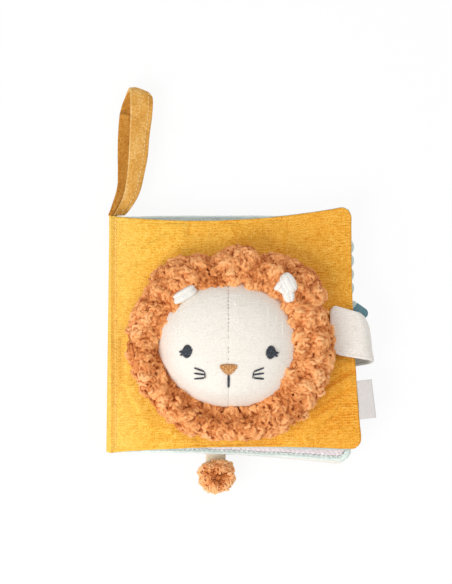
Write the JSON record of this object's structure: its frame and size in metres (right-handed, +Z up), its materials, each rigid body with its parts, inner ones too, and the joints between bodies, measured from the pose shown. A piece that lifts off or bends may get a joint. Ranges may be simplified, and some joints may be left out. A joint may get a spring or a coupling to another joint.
{
  "type": "crinkle cloth book",
  "caption": "Soft cloth book with padded crackling panels, a stuffed lion head on the front cover, a closure strap, a hanging loop and a pompom tail.",
  "frame": {"origin": "middle of the flat underside of the back cover, on which the closed book lies", "axes": "+X from the spine to the fore edge, +Y towards the top edge, +Z up, out of the front cover"},
  "size_m": [0.176, 0.2656, 0.0562],
  "materials": {
    "mustard_muslin": "crinkled double gauze",
    "mint_lining": "plain weave",
    "mint_velour": "short pile",
    "pink_cloth": "plain weave",
    "cream_cloth": "plain weave",
    "wadding": "loose fibre",
    "crinkle_film": "thin crackling film",
    "sherpa": "curly pile",
    "strap_linen": "plain linen weave",
    "face_linen": "slubbed linen weave",
    "charcoal_thread": "satin stitch",
    "nose_thread": "satin stitch",
    "hook_tape": "hook and loop tape",
    "teal_cloth": "plain weave",
    "tag_satin": "bare satin",
    "tape_twill": "twill tape"
  },
  "bodies": {
    "back_cover": {"back_cover_outer": "mustard_muslin", "back_cover_wadding": "wadding", "back_cover_film": "crinkle_film", "back_cover_lining": "cream_cloth", "spine_cover": "mustard_muslin"},
    "leaf": {"leaf_front": "pink_cloth", "leaf_wadding": "wadding", "leaf_film": "crinkle_film", "leaf_back": "mint_velour", "ribbon_tab": "teal_cloth", "scalloped_trim": "mint_velour"},
    "front_cover": {"front_cover_outer": "mustard_muslin", "front_cover_wadding": "wadding", "front_cover_film": "crinkle_film", "front_cover_lining": "mint_lining", "loop_patch": "hook_tape", "side_tag": "tag_satin", "head_back": "tape_twill", "head_stuffing": "wadding", "face_left": "face_linen", "face_right": "face_linen", "mane": "sherpa", "left_ear": "face_linen", "right_ear": "face_linen", "left_eye": "charcoal_thread", "right_eye": "charcoal_thread", "nose": "nose_thread", "mouth": "charcoal_thread", "left_whisker_1": "charcoal_thread", "left_whisker_2": "charcoal_thread", "left_whisker_3": "charcoal_thread", "right_whisker_1": "charcoal_thread", "right_whisker_2": "charcoal_thread", "right_whisker_3": "charcoal_thread"},
    "strap": {"closure_strap": "strap_linen", "hook_patch": "hook_tape"},
    "hanging_loop": {"hanging_loop": "mustard_muslin"},
    "tail": {"tail_tape": "tape_twill", "tail_pom": "sherpa"}
  },
  "joints": [
    {"name": "leaf_turn", "type": "hinge", "parent": "back_cover", "child": "leaf", "pos_m": [-0.0782, 0, 0.00765], "axis": [0, 1, 0], "range_deg": [-124, 0], "deforming": ["spine_cover"]},
    {"name": "front_cover_turn", "type": "hinge", "parent": "leaf", "child": "front_cover", "pos_m": [-0.0782, 0, 0.01595], "axis": [0, -1, 0], "range_deg": [0, 150]},
    {"name": "strap_peel", "type": "hinge", "parent": "back_cover", "child": "strap", "pos_m": [0.0875, 0, 0.004], "axis": [0, 1, 0], "range_deg": [0, 75], "deforming": ["closure_strap", "hook_patch"]},
    {"name": "hanging_loop_swing", "type": "hinge", "parent": "back_cover", "child": "hanging_loop", "pos_m": [-0.074, 0.0796, 0.0106], "axis": [1, 0, 0], "range_deg": [0, 90]},
    {"name": "tail_swing", "type": "hinge", "parent": "back_cover", "child": "tail", "pos_m": [-0.0094, -0.0826, 0.0035], "axis": [-1, 0, 0], "range_deg": [0, 14]}
  ]
}
